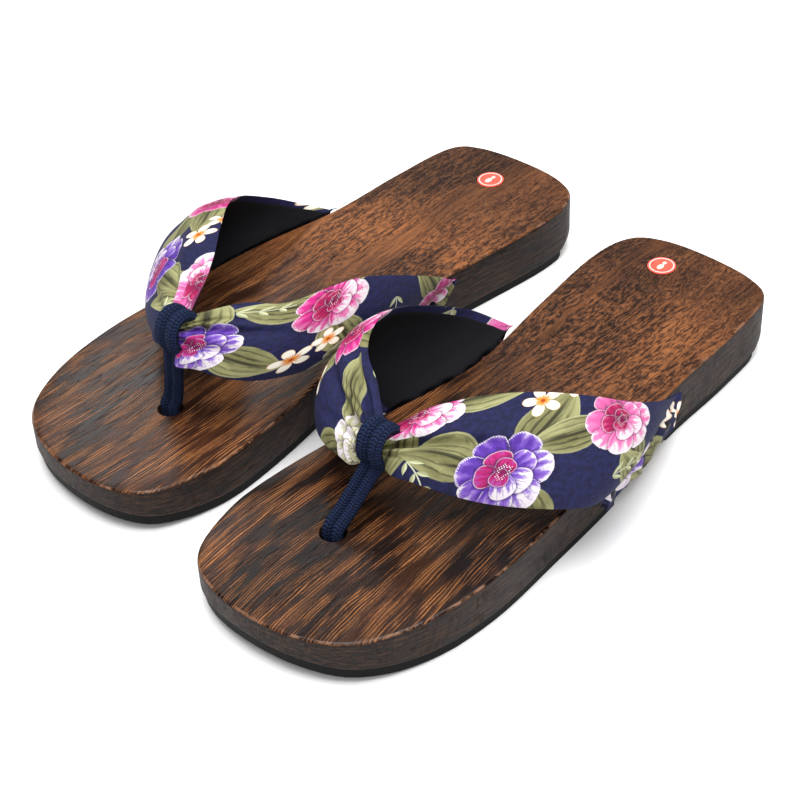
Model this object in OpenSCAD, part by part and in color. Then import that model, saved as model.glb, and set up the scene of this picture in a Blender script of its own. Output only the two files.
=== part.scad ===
// A pair of wooden thong sandals: thick flat soles of scorched wood, a wide padded fabric
// strap in two arms that meet over the toes, and a knitted toe post that loops over them.
// Each sandal is drawn in its own frame: X across (outer side of the foot +), toes to -Y,
// heel edge at Y = 0, ground at Z = 0. Millimetres.

/* [Sole] */
// length of the sole, heel to toe
sole_len = 250; // [220:1:280]
// height of the footbed above the ground at the heel
heel_h = 25; // [20:0.5:40]
// height of the footbed above the ground at the toe
toe_h = 18.5; // [15:0.5:30]
// how far the underside rises at the toe end
toe_spring = 5; // [0:0.5:8]
// how far the underside rises at the heel end
heel_bevel = 7; // [0:0.5:10]
// height of the arch between the two rubber soles, above the rubber's top
arch_h = 3; // [0:0.5:6]

/* [Rubber outsoles] */
// thickness of the rubber under the wood
rubber_t = 4; // [2:0.5:8]
// how far the rubber stands in from the edge of the wood
rubber_inset = 1; // [0:0.5:4]
// rear end of the forefoot rubber, from the heel
front_from = 118; // [100:1:150]
// front end of the heel rubber, from the heel
heel_to = 78; // [50:1:90]
// depth of the grooves across the rubber
groove_d = 1.2; // [0:0.1:2]
// how far the grooves stop short of the rubber's rim
groove_margin = 4; // [1:0.5:12]

/* [Straps] */
// thickness of the printed cover cloth
cover_t = 1.2; // [0.6:0.1:2]
// thickness of the foam in the middle of an arm
padding_t = 3; // [1:0.1:6]
// thickness of the lining cloth
lining_t = 0.9; // [0.5:0.1:2]
// how much an arm bows out between its two edges, as a share of its width
crown = 0.10; // [0:0.01:0.2]
// how far the strap ends reach down the side of the sole
tab_drop = 13; // [6:0.5:16]
// thickness of the strap ends on the side of the sole
tab_t = 3; // [2:0.1:5]

/* [Toe post] */
// diameter of one strand of the doubled cord
strand_d = 4.2; // [3:0.1:6]
// diameter of the hole in the wood
post_hole_d = 9; // [8:0.1:12]
// distance of the hole from the heel
post_s = 205; // [190:1:220]
// distance of the hole from the middle, towards the inner side
post_in = 9; // [4:0.5:14]
// diameter of the pocket under the sole for the knot
pocket_d = 19; // [16:0.5:24]
// depth of that pocket from the ground
pocket_h = 9; // [7:0.5:12]

/* [Size sticker] */
// diameter of the round sticker on the heel
sticker_d = 11; // [8:0.5:16]
// thickness of the sticker
sticker_t = 0.3; // [0.1:0.1:0.6]

/* [Pair] */
// distance between the middle lines of the two soles at the heel
pair_gap = 100; // [96:1:160]
// how far the right sandal stands behind the left one
stagger = 9; // [0:1:40]
// how far each sandal turns its toes out, degrees
toe_out = 1.3; // [0:0.1:10]

/* [Hidden] */
$fn = 48;
eps = 0.01;
// middle of the box around the pair
mid_x = 0.618;
mid_y = -120.56;
// outline of the sole as [outer side +, distance from the heel]
OUTLINE = [[0, 0], [22, 3], [33, 12], [36, 40], [37, 78], [43, 115], [45.5, 155], [46.5, 188],
  [42, 216], [31, 237], [14, 247], [-8, 250], [-27, 247], [-39, 238], [-45, 219], [-45.5, 200],
  [-41, 168], [-32, 130], [-29, 103], [-33, 65], [-36, 28], [-32, 9], [-20, 1.5]];
// edges of the two arms from the toe post to the edge of the sole, as [across, from heel, height]
OUTER_FRONT = [[-6, 186, 41], [10, 186, 39], [29, 176, 34], [45, 163, 31], [54, 152, 29],
  [54, 144, 26], [46.6, 140, 21.5]];
OUTER_REAR = [[-6, 181, 49], [7, 158, 54], [22, 142, 55], [36, 128, 52], [44, 116, 46],
  [45, 99, 36], [38.6, 74, 23]];
INNER_FRONT = [[-6, 186, 41], [-20, 190, 38], [-35, 184, 36], [-45, 172, 36], [-47, 160, 35],
  [-43, 152, 29], [-38, 149, 21.5]];
INNER_REAR = [[-6, 181, 49], [-32, 160, 55], [-40, 147, 58], [-42, 134, 56], [-42, 116, 47],
  [-40, 95, 34], [-33.6, 79, 23]];
// the right sandal's toe post stands more upright: how far its strap's middle moves
LEAN = [[0, 0, 0], [-7, 16, 8]];
// share of that movement at each point along an arm
FOLLOW = [1, 0.8, 0.62, 0.43, 0.25, 0.12, 0];

/* Curves */
// Catmull-Rom through four points
function cr4(a, b, c, d, t) = 0.5 * ((2 * b) + (c - a) * t + (2 * a - 5 * b + 4 * c - d) * t * t
  + (3 * b - a - 3 * c + d) * t * t * t);
// the closed curve through p, n steps a span
function closed(p, n) = [for (i = [0:len(p) - 1], k = [0:n - 1])
  cr4(p[(i + len(p) - 1) % len(p)], p[i], p[(i + 1) % len(p)], p[(i + 2) % len(p)], k / n)];
// one point of the open curve through p, u from 0 to 1
function at(p, i) = i < 0 ? 2 * p[0] - p[1] : i >= len(p) ? 2 * p[len(p) - 1] - p[len(p) - 2] : p[i];
function along(p, u) = let (m = len(p) - 1, i = min(m - 1, floor(u * m)))
  cr4(at(p, i - 1), at(p, i), at(p, i + 1), at(p, i + 2), u * m - i);
// an edge list with the strap's middle moved
function moved(p, side) = [for (i = [0:len(p) - 1]) p[i] + FOLLOW[i] * LEAN[side]];
function unit(v) = v / norm(v);
// from [across, from heel, height] to the sandal's frame
function put(p) = [p[0], -p[1], p[2]];
// height of the footbed at a distance from the heel
function top_z(s) = heel_h - (heel_h - toe_h) * s / sole_len;

outline = [for (p = closed(OUTLINE, 5)) [p[0], -p[1] * sole_len / 250]];

/* Building blocks */
// a solid between side-view outlines, run across the sandal; points are [from heel, height]
module across(pts, w = 140) {
  rotate([90, 0, -90]) translate([0, 0, -w / 2]) linear_extrude(w) polygon(pts);
}

// everything between two heights inside the sole's outline, moved in by d
module column(d = 0, h = 60) {
  linear_extrude(h) if (d == 0) polygon(outline); else offset(delta = -d) polygon(outline);
}

// wood body without holes
module wood_body() {
  r = rubber_t;
  intersection() {
    column();
    across([[-5, r + heel_bevel + 1.5], [17, r], [heel_to, r], [heel_to + 10, r + arch_h],
      [front_from - 12, r + arch_h], [front_from, r], [205, r], [225, r + toe_spring * 0.24],
      [240, r + toe_spring * 0.64], [sole_len + 5, r + toe_spring * 1.3],
      [sole_len + 5, top_z(sole_len + 5)], [-5, top_z(-5)]]);
  }
}

// a rubber sole between two distances from the heel, following the wood's underside
module rubber(from, to, grooves) {
  r = rubber_t;
  k = toe_spring;
  difference() {
    intersection() {
      column(rubber_inset);
      across(to > 200
        ? [[from, 0], [205, 0], [225, k * 0.24], [240, k * 0.64], [to + 6, k * 1.3],
          [to + 6, r + k * 1.3], [240, r + k * 0.64], [225, r + k * 0.24], [205, r], [from, r]]
        : [[from, 1], [from + 2, 0], [to, 0], [to, r], [from, r]]);
    }
    // the grooves stop short of the rim
    intersection() {
      column(rubber_inset + groove_margin, 5);
      union() for (s = grooves) translate([-60, -s - 1, -1]) cube([120, 2, 1 + groove_d]);
    }
  }
}

// the tube around a path of points, as one closed solid
module tube(path, r, n = 10) {
  m = len(path);
  dirs = [for (i = [0:m - 1]) unit(path[min(m - 1, i + 1)] - path[max(0, i - 1)])];
  pts = [for (i = [0:m - 1]) let (a = unit(cross(dirs[i], cross([1, 0, 0], dirs[i]))),
    b = cross(dirs[i], a), q = (i == 0 || i == m - 1) ? 0.7 : 1)
    for (k = [0:n - 1]) path[i] + q * r * (a * cos(360 * k / n) + b * sin(360 * k / n))];
  polyhedron(points = pts, faces = concat(
    [for (i = [0:m - 2], k = [0:n - 1]) [i * n + k, i * n + (k + 1) % n, (i + 1) * n + (k + 1) % n]],
    [for (i = [0:m - 2], k = [0:n - 1]) [i * n + k, (i + 1) * n + (k + 1) % n, (i + 1) * n + k]],
    [[for (k = [n - 1:-1:0]) k]], [[for (k = [0:n - 1]) (m - 1) * n + k]]));
}

nu = 26;
nv = 8;
// foam thickness across an arm: full in the middle, thin at its edges and at the gather
function foam(u, v) = 0.3 + padding_t * (1 - pow(abs(v), 3)) * (0.75 + 0.25 * sin(180 * u));
// a point of an arm: u along it, v from -1 (front edge) to 1 (rear edge), h off its middle
function arm_pt(f, r, u, v, h, sgn) = let (
    a = along(f, u), b = along(r, u), w = b - a,
    u0 = max(0, u - 0.02), u1 = min(1, u + 0.02),
    t = (along(f, u1) + along(r, u1)) - (along(f, u0) + along(r, u0)),
    n = unit(sgn * cross(unit(w), unit(t))),
    bow = norm(w) * crown * (1 - v * v) * min(1, 3 * u) * min(1, 2.5 * (1 - u)))
  put(a + w * (v + 1) / 2 + n * (bow + h));
// one layer of an arm between heights lo and hi; each is [fixed, share of the foam]
module layer(f, r, lo, hi, sgn) {
  c = nv + 1;
  pts = [for (s = [lo, hi], i = [0:nu], j = [0:nv]) let (u = i / nu, v = -1 + 2 * j / nv)
    arm_pt(f, r, u, v, s[0] + s[1] * foam(u, v), sgn)];
  o = (nu + 1) * c;
  tri = concat(
    [for (i = [0:nu - 1], j = [0:nv - 1]) let (a = i * c + j) [a, a + 1, a + c + 1]],
    [for (i = [0:nu - 1], j = [0:nv - 1]) let (a = i * c + j) [a, a + c + 1, a + c]],
    [for (i = [0:nu - 1], j = [0:nv - 1]) let (a = o + i * c + j) [a, a + c + 1, a + 1]],
    [for (i = [0:nu - 1], j = [0:nv - 1]) let (a = o + i * c + j) [a, a + c, a + c + 1]],
    [for (i = [0:nu - 1]) let (a = i * c) [a, a + c, a + c + o]],
    [for (i = [0:nu - 1]) let (a = i * c) [a, a + c + o, a + o]],
    [for (i = [0:nu - 1]) let (a = i * c + nv) [a, a + c + o, a + c]],
    [for (i = [0:nu - 1]) let (a = i * c + nv) [a, a + o, a + c + o]],
    [for (j = [0:nv - 1]) [j, j + o + 1, j + 1]], [for (j = [0:nv - 1]) [j, j + o, j + o + 1]],
    [for (j = [0:nv - 1]) let (a = nu * c + j) [a, a + 1, a + o + 1]],
    [for (j = [0:nv - 1]) let (a = nu * c + j) [a, a + o + 1, a + o]]);
  polyhedron(points = pts, faces = sgn < 0 ? tri : [for (t = tri) [t[2], t[1], t[0]]]);
}
function front(arm, side) = moved(arm == 0 ? INNER_FRONT : OUTER_FRONT, side);
function rear(arm, side) = moved(arm == 0 ? INNER_REAR : OUTER_REAR, side);
function turn(arm) = arm == 0 ? -1 : 1;
module cover(arm, side) layer(front(arm, side), rear(arm, side), [0, 0.5], [cover_t, 0.5], turn(arm));
module padding(arm, side) layer(front(arm, side), rear(arm, side), [0, -0.5], [0, 0.5], turn(arm));
module lining(arm, side) layer(front(arm, side), rear(arm, side), [-lining_t, -0.5], [0, -0.5], turn(arm));

// where an arm's end lies along the edge of the sole: [from, to, side of the sole]
ENDS = [[78, 149, -1], [73, 141, 1]];
// strap end folded down the side of the sole, with the lower corners cut back
module tab(arm) {
  e = ENDS[arm];
  z = (top_z(e[0]) + top_z(e[1])) / 2;
  intersection() {
    translate([0, 0, z - tab_drop - 2]) linear_extrude(tab_drop + 4) difference() {
      offset(delta = tab_t) polygon(outline);
      polygon(outline);
    }
    translate([e[2] * 40, 0, 0]) across([[e[0], top_z(e[0])], [e[0] + 3, top_z(e[0]) - tab_drop + 3],
      [e[0] + 9, top_z(e[0]) - tab_drop], [e[1] - 9, top_z(e[1]) - tab_drop],
      [e[1] - 3, top_z(e[1]) - tab_drop + 3], [e[1], top_z(e[1])]], 60);
  }
}
// distance of the outline from the middle line, by straight steps of the curve
function edge_x(s, dir) = let (c = [for (i = [0:len(outline) - 1])
    let (a = outline[i], b = outline[(i + 1) % len(outline)])
    if (a[0] * dir > 20 && (a[1] + s) * (b[1] + s) <= 0 && a[1] != b[1])
      a[0] + (b[0] - a[0]) * (-s - a[1]) / (b[1] - a[1])]) c[0];
// one tack: a low domed head on a thin shank
module tack() {
  rotate_extrude($fn = 24) polygon([[0, -7], [0.6, -6], [0.6, -0.6], [2.6, 0], [2.4, 0.6], [1.2, 1.1],
    [0, 1.2]]);
}
module tacks(arm) {
  e = ENDS[arm];
  for (k = [0.2, 0.5, 0.8]) {
    s = e[0] + (e[1] - e[0]) * k;
    translate([edge_x(s, e[2]) + e[2] * tab_t, -s, top_z(s) - tab_drop * 0.6])
      rotate([0, e[2] * 90, 0]) tack();
  }
}

module sole() {
  difference() {
    wood_body();
    translate([-post_in, -post_s, -1]) cylinder(d = post_hole_d, h = 60);
    translate([-post_in, -post_s, -1]) cylinder(d = pocket_d, h = pocket_h + 1);
  }
}
module front_rubber() {
  difference() {
    rubber(front_from, sole_len, [for (i = [0:8]) front_from + 8 + i * 9]);
    translate([-post_in, -post_s, -1]) cylinder(d = pocket_d, h = 20);
  }
}
module heel_rubber() rubber(17, heel_to, [for (i = [0:5]) 26 + i * 9]);

// middle line of the toe post's cord, from the knot over the strap and back under it
function post_path(side) = let (c = (front(1, side)[0] + rear(1, side)[0]) / 2,
    b = [-post_in, post_s, 0], r = 5.6 + strand_d / 2, lean = c - [b[0], b[1], c[2]])
  concat([b + [0, 0, 5.5], b + [0, 0, 12], b + [0, 0, top_z(post_s) + 1],
    b + lean * 0.3 + [0, 0, top_z(post_s) + 7]],
    [for (a = [-52:16:232]) c + [0, r * cos(a), r * sin(a)]]);
module post(side) {
  p = post_path(side);
  for (k = [-1, 1]) tube([for (q = [for (i = [0:3 * (len(p) - 1)]) along(p, i / (3 * (len(p) - 1)))])
    put(q) + [k * (strand_d / 2 + 0.02), 0, 0]], strand_d / 2);
}
module knot() {
  translate([-post_in, -post_s, 0]) rotate_extrude() polygon([[0, 2], [4.5, 2.1], [6.8, 3.1],
    [7.6, 4.6], [7.2, 6.2], [5.4, 7.4], [3, 7.8], [0, 7.8]]);
}

// where the sticker lies: [across, from heel] for the left and the right sandal
STICK = [[-10, 17], [2, 20]];
module on_bed(side) {
  p = STICK[side];
  translate([p[0], -p[1], top_z(p[1])]) rotate([atan((heel_h - toe_h) / sole_len), 0, 0]) children();
}
module sticker(side) on_bed(side) cylinder(d = sticker_d, h = sticker_t);
// a ring and a plain footprint, raised like thick ink
module print(side) on_bed(side) translate([0, 0, sticker_t]) linear_extrude(0.12) {
  difference() { circle(d = sticker_d * 0.9); circle(d = sticker_d * 0.8); }
  scale(sticker_d / 11) {
    translate([0.1, -1]) scale([0.8, 1.25]) circle(1.5);
    translate([0, 1.9]) scale([0.8, 1]) circle(1.05);
  }
}

// stand a sandal in the pair: 0 = left foot, at +X; 1 = right foot, its mirror image at -X
module stand(side) {
  d = side == 0 ? 1 : -1;
  translate([d * pair_gap / 2 - mid_x, (side == 0 ? 0 : stagger) - mid_y, 0])
    rotate(d * toe_out) mirror([side, 0, 0]) children();
}

wood = "#4a2e1c";
black = "#17171a";
navy = "#1c1d40";
printed = "#3a3a66";
foamc = "#d8d4c8";

module left_wood_sole() color(wood) stand(0) sole();
module left_front_outsole() color(black) stand(0) front_rubber();
module left_heel_outsole() color(black) stand(0) heel_rubber();
module left_toe_post() color(navy) stand(0) post(0);
module left_toe_knot() color(navy) stand(0) knot();
module left_inner_cover() color(printed) stand(0) cover(0, 0);
module left_inner_padding() color(foamc) stand(0) padding(0, 0);
module left_inner_lining() color(navy) stand(0) lining(0, 0);
module left_outer_cover() color(printed) stand(0) cover(1, 0);
module left_outer_padding() color(foamc) stand(0) padding(1, 0);
module left_outer_lining() color(navy) stand(0) lining(1, 0);
module left_inner_tab() color(printed) stand(0) tab(0);
module left_outer_tab() color(printed) stand(0) tab(1);
module left_inner_tacks() color("#3b3b3d") stand(0) tacks(0);
module left_outer_tacks() color("#3b3b3d") stand(0) tacks(1);
module left_size_sticker() color("#d8362f") stand(0) sticker(0);
module left_sticker_print() color("#f2d9d6") stand(0) print(0);
module right_wood_sole() color(wood) stand(1) sole();
module right_front_outsole() color(black) stand(1) front_rubber();
module right_heel_outsole() color(black) stand(1) heel_rubber();
module right_toe_post() color(navy) stand(1) post(1);
module right_toe_knot() color(navy) stand(1) knot();
module right_inner_cover() color(printed) stand(1) cover(0, 1);
module right_inner_padding() color(foamc) stand(1) padding(0, 1);
module right_inner_lining() color(navy) stand(1) lining(0, 1);
module right_outer_cover() color(printed) stand(1) cover(1, 1);
module right_outer_padding() color(foamc) stand(1) padding(1, 1);
module right_outer_lining() color(navy) stand(1) lining(1, 1);
module right_inner_tab() color(printed) stand(1) tab(0);
module right_outer_tab() color(printed) stand(1) tab(1);
module right_inner_tacks() color("#3b3b3d") stand(1) tacks(0);
module right_outer_tacks() color("#3b3b3d") stand(1) tacks(1);
module right_size_sticker() color("#d8362f") stand(1) sticker(1);
module right_sticker_print() color("#f2d9d6") stand(1) print(1);

left_wood_sole();
left_front_outsole();
left_heel_outsole();
left_toe_post();
left_toe_knot();
left_inner_cover();
left_inner_padding();
left_inner_lining();
left_outer_cover();
left_outer_padding();
left_outer_lining();
left_inner_tab();
left_outer_tab();
left_inner_tacks();
left_outer_tacks();
left_size_sticker();
left_sticker_print();
right_wood_sole();
right_front_outsole();
right_heel_outsole();
right_toe_post();
right_toe_knot();
right_inner_cover();
right_inner_padding();
right_inner_lining();
right_outer_cover();
right_outer_padding();
right_outer_lining();
right_inner_tab();
right_outer_tab();
right_inner_tacks();
right_outer_tacks();
right_size_sticker();
right_sticker_print();
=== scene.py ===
import math
import random

import bmesh
import bpy
import numpy as np
from mathutils import Matrix, Vector


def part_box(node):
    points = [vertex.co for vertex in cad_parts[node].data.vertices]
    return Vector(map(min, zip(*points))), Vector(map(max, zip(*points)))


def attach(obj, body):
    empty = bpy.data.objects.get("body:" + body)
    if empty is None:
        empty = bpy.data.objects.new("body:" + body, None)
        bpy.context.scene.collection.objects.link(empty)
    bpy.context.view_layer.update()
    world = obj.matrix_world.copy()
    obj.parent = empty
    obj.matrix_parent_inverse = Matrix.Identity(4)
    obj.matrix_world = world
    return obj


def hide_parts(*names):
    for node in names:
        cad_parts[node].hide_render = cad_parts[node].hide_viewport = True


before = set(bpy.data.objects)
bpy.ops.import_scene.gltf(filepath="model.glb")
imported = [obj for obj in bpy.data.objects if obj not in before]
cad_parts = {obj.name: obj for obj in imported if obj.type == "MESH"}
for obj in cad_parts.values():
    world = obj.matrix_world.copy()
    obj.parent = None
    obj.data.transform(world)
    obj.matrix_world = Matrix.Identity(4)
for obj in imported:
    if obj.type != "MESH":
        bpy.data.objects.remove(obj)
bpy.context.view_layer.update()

TAU = 2 * math.pi

# ---------------------------------------------------------------- sandal frame
# Millimetres in each sandal's own frame: t across (outer side +), s from the heel, z up.
SOLE_L = 250
HEEL_H, TOE_H = 25, 18.5        # height of the sole's top, with the rubber under it
EDGE_TOP, EDGE_UNDER = 1.3, 1.0      # radius of the wood's upper and lower edge
POST_IN, POST_S = 9, 205        # the toe cord's hole, from the middle line and the heel
STRAND = 2.1                    # radius of one strand of the toe cord
TOE_OUT = math.radians(1.3)

# the sole's edge (t, s), and each strap's two edges (t, s, z): a smooth curve runs through them
OUTLINE = [(0, 0), (22, 3), (33, 12), (36, 40), (37, 78), (43, 115), (45.5, 155), (46.5, 188),
           (42, 216), (31, 237), (14, 247), (-8, 250), (-27, 247), (-39, 238), (-45, 219),
           (-45.5, 200), (-41, 168), (-32, 130), (-29, 103), (-33, 65), (-36, 28), (-32, 9),
           (-20, 1.5)]
OUTER_FRONT = [(-6, 186, 41), (10, 186, 39), (29, 176, 34), (45, 163, 31), (54, 152, 29),
               (54, 144, 26), (46.6, 140, 21.5)]
OUTER_REAR = [(-6, 181, 49), (7, 158, 54), (22, 142, 55), (36, 128, 52), (44, 116, 46),
              (45, 99, 36), (38.6, 74, 23)]
INNER_FRONT = [(-6, 186, 41), (-20, 190, 38), (-35, 184, 36), (-45, 172, 36), (-47, 160, 35),
               (-43, 152, 29), (-38, 149, 21.5)]
INNER_REAR = [(-6, 181, 49), (-32, 160, 55), (-40, 147, 58), (-42, 134, 56), (-42, 116, 47),
              (-40, 95, 34), (-33.6, 79, 23)]
# how far the gathered middle of each strap leans, and each edge point's share of it
LEAN = {"left": (0, 0, 0), "right": (-7, 16, 8)}
FOLLOW = (1, 0.8, 0.62, 0.43, 0.25, 0.12, 0)
# the wood's underside: distance from the heel, and height there
UNDER = [(-5, 12.5), (17, 4), (78, 4), (88, 7), (106, 7), (118, 4), (205, 4), (225, 5.2), (240, 7.2),
         (255, 10.5)]


def top_z(s):
    return HEEL_H - (HEEL_H - TOE_H) * s / SOLE_L


def under_z(s):
    return np.interp(s, *zip(*UNDER))


def spline(a, b, c, d, t):
    """Catmull-Rom curve from b to c."""
    return 0.5 * (2 * b + (c - a) * t + (2 * a - 5 * b + 4 * c - d) * t * t
                  + (3 * b - a - 3 * c + d) * t ** 3)


def open_curve(pts, u):
    p = np.array(pts, float)
    p = np.vstack([2 * p[0] - p[1], p, 2 * p[-1] - p[-2]])
    m = len(p) - 3
    u = np.clip(np.atleast_1d(u), 0, 1) * m
    i = np.minimum(u.astype(int), m - 1)
    t = (u - i)[:, None]
    return spline(p[i], p[i + 1], p[i + 2], p[i + 3], t)


def closed_curve(pts, n):
    p = np.array(pts, float)
    k = len(p)
    out = []
    for i in range(k):
        for j in range(n):
            out.append(spline(p[(i - 1) % k], p[i], p[(i + 1) % k], p[(i + 2) % k], j / n))
    return np.array(out)


OUT = closed_curve(OUTLINE, 24)


class Side:
    """Where one sandal stands: its own millimetres to the row's metres."""

    def __init__(self, name):
        self.name = name
        self.d = 1 if name == "left" else -1
        self.body = name + "_sandal"
        self.shift = np.zeros(3)
        flat = self.world(np.column_stack([OUT, np.zeros(len(OUT))]))
        lo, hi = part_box(name + "_wood_sole")
        for k in range(2):
            self.shift[k] = (lo[k] + hi[k]) / 2 - (flat[:, k].min() + flat[:, k].max()) / 2

    def world(self, p):
        p = np.asarray(p, float) / 1000
        t, s, z = p[..., 0], p[..., 1], p[..., 2]
        c, n = math.cos(TOE_OUT), math.sin(TOE_OUT)
        return np.stack([self.d * (t * c + s * n), t * n - s * c, z], -1) + self.shift


SIDES = {n: Side(n) for n in ("left", "right")}


# ---------------------------------------------------------------- mesh helpers
def new_mesh(name, verts, faces, mat=None, uv=None, sharp=None):
    me = bpy.data.meshes.new(name)
    me.from_pydata([tuple(v) for v in verts], [], [tuple(f) for f in faces])
    me.validate()
    if uv is not None:
        lay = me.uv_layers.new(name="UVMap")
        idx = np.empty(len(me.loops), int)
        me.loops.foreach_get("vertex_index", idx)
        lay.data.foreach_set("uv", np.asarray(uv, float)[idx].ravel())
    ob = bpy.data.objects.new(name, me)
    bpy.context.scene.collection.objects.link(ob)
    if mat:
        me.materials.append(mat)
    me.polygons.foreach_set("use_smooth", [True] * len(me.polygons))
    if sharp is not None:
        me.set_sharp_from_angle(angle=math.radians(sharp))
    return ob


def face_out(ob):
    bm = bmesh.new()
    bm.from_mesh(ob.data)
    bmesh.ops.recalc_face_normals(bm, faces=bm.faces)
    bm.to_mesh(ob.data)
    bm.free()


def tube_faces(rows, ring, cap=True):
    """Faces of a tube whose points run ring by ring."""
    f = []
    for i in range(rows - 1):
        for k in range(ring):
            a, b = i * ring + k, i * ring + (k + 1) % ring
            f.append((a, b, b + ring, a + ring))
    if cap:
        f.append(tuple(range(ring - 1, -1, -1)))
        f.append(tuple((rows - 1) * ring + k for k in range(ring)))
    return f


def cut(ob, cutter):
    m = ob.modifiers.new("cut", "BOOLEAN")
    m.operation, m.object, m.solver = "DIFFERENCE", cutter, "EXACT"
    dg = bpy.context.evaluated_depsgraph_get()
    me = bpy.data.meshes.new_from_object(ob.evaluated_get(dg))
    ob.modifiers.clear()
    ob.data = me
    bpy.data.objects.remove(cutter)


def lathe(name, prof, n):
    """A round solid about Z from its profile of (radius, height)."""
    v = [(r * math.cos(TAU * k / n), r * math.sin(TAU * k / n), z) for r, z in prof for k in range(n)]
    return new_mesh(name, v, tube_faces(len(prof), n))


# ---------------------------------------------------------------- shader helpers
class Net:
    """Writes shader maths as plain expressions."""

    def __init__(self, tree):
        self.t = tree
        self.n = 0

    def node(self, kind, **kw):
        nd = self.t.nodes.new(kind)
        nd.location = (-2600 + 170 * (self.n % 14), 400 - 190 * (self.n // 14))
        self.n += 1
        for k, v in kw.items():
            setattr(nd, k, v)
        return nd

    def put(self, sock, v):
        if isinstance(v, Val):
            self.t.links.new(v.s, sock)
        elif v is not None:
            sock.default_value = v

    def m(self, op, *a, clamp=False):
        nd = self.node("ShaderNodeMath", operation=op, use_clamp=clamp)
        for i, v in enumerate(a):
            self.put(nd.inputs[i], v)
        return Val(self, nd.outputs[0])

    def mix(self, a, b, f):
        return a + (b - a) * f if isinstance(a, Val) else (b - a) * f + a

    def mixc(self, a, b, f):
        nd = self.node("ShaderNodeMix", data_type="RGBA")
        self.put(nd.inputs[0], f)
        self.put(nd.inputs[6], a if isinstance(a, Val) else (*a, 1))
        self.put(nd.inputs[7], b if isinstance(b, Val) else (*b, 1))
        return Val(self, nd.outputs[2])

    def step(self, x, lo, hi):
        nd = self.node("ShaderNodeMapRange", interpolation_type="SMOOTHSTEP", clamp=True)
        self.put(nd.inputs[0], x)
        self.put(nd.inputs[1], lo)
        self.put(nd.inputs[2], hi)
        return Val(self, nd.outputs[0])

    def vec(self, x=0.0, y=0.0, z=0.0):
        nd = self.node("ShaderNodeCombineXYZ")
        for i, v in enumerate((x, y, z)):
            self.put(nd.inputs[i], v)
        return Val(self, nd.outputs[0])

    def xyz(self, v):
        nd = self.node("ShaderNodeSeparateXYZ")
        self.put(nd.inputs[0], v)
        return [Val(self, o) for o in nd.outputs]

    def noise(self, v, scale, detail, rough):
        nd = self.node("ShaderNodeTexNoise")
        self.put(nd.inputs["Vector"], v)
        nd.inputs["Scale"].default_value = scale
        nd.inputs["Detail"].default_value = detail
        nd.inputs["Roughness"].default_value = rough
        return Val(self, nd.outputs[0])

    def ramp(self, f, stops):
        nd = self.node("ShaderNodeValToRGB")
        el = nd.color_ramp.elements
        el[0].position, el[0].color = stops[0][0], (*stops[0][1], 1)
        el[1].position, el[1].color = stops[-1][0], (*stops[-1][1], 1)
        for p, c in stops[1:-1]:
            e = el.new(p)
            e.color = (*c, 1)
        self.put(nd.inputs[0], f)
        return Val(self, nd.outputs[0])


def op(kind):
    return lambda self, *o: self.net.m(kind, self, *o)


def swapped(kind):
    return lambda self, o: self.net.m(kind, o, self)


class Val:
    """One output of a shader node. Each sum, product or call on it adds a node."""

    def __init__(self, net, s):
        self.net, self.s = net, s

    __add__, __radd__ = op("ADD"), swapped("ADD")
    __sub__, __rsub__ = op("SUBTRACT"), swapped("SUBTRACT")
    __mul__, __rmul__ = op("MULTIPLY"), swapped("MULTIPLY")
    __truediv__, __pow__ = op("DIVIDE"), op("POWER")
    abs, max = op("ABSOLUTE"), op("MAXIMUM")
    sin, cos, fract = op("SINE"), op("COSINE"), op("FRACT")

    def clamp(self):
        return self.net.m("ADD", self, 0.0, clamp=True)


def rgb(h):
    """Linear colour from six hex digits."""
    c = [int(h[i:i + 2], 16) / 255 for i in (0, 2, 4)]
    return tuple(x / 12.92 if x <= 0.04045 else ((x + 0.055) / 1.055) ** 2.4 for x in c)


def material(name):
    m = bpy.data.materials.new(name)
    m.use_nodes = True
    m.node_tree.nodes.clear()
    net = Net(m.node_tree)
    out = net.node("ShaderNodeOutputMaterial")
    sh = net.node("ShaderNodeBsdfPrincipled")
    m.node_tree.links.new(sh.outputs[0], out.inputs[0])
    return m, net, sh


def bump(net, sh, height, dist, strength):
    nd = net.node("ShaderNodeBump")
    nd.inputs["Strength"].default_value = strength
    nd.inputs["Distance"].default_value = dist
    net.put(nd.inputs["Height"], height)
    net.put(sh.inputs["Normal"], Val(net, nd.outputs[0]))


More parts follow.
